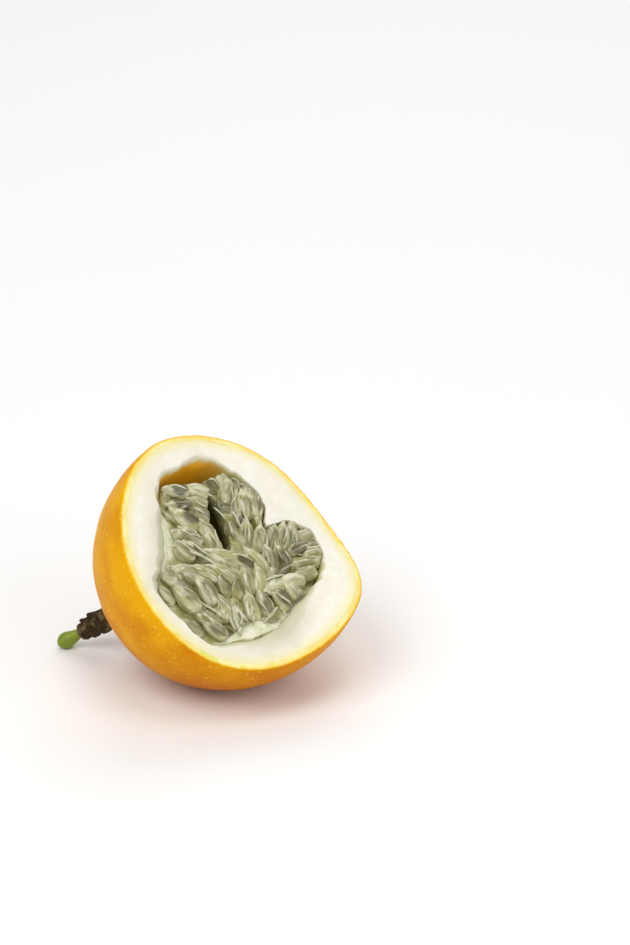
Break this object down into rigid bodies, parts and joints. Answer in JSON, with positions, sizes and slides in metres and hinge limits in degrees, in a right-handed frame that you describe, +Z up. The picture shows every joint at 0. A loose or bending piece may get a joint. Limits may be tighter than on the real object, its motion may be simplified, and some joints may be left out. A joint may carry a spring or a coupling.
{
  "type": "passion fruit half",
  "caption": "Half of an orange sweet passion fruit, cut across: white pith round a bowl of grey-green seed sacs, with a short stalk stub, lying on its side.",
  "frame": {"origin": "middle of the small flat spot that the half rests on", "axes": "+Z up; the picture is taken along +Y from a little above, so +X is to its right; the stalk leaves towards -X"},
  "size_m": [0.0801, 0.0649, 0.0589],
  "materials": {
    "skin": "orange waxy skin with fine pale speckles outside, creamy white spongy pith on the cut and inside the bowl",
    "pulp": "wet, translucent grey-green seed sacs over dark seeds, with cream strings",
    "bark": "dry dark brown stalk with lighter worn patches",
    "green_stalk": "fresh green stalk with a soft shine"
  },
  "bodies": {
    "root": {"shell": "skin", "pulp": "pulp", "stalk": "bark", "stalk_tip": "green_stalk"}
  },
  "joints": []
}
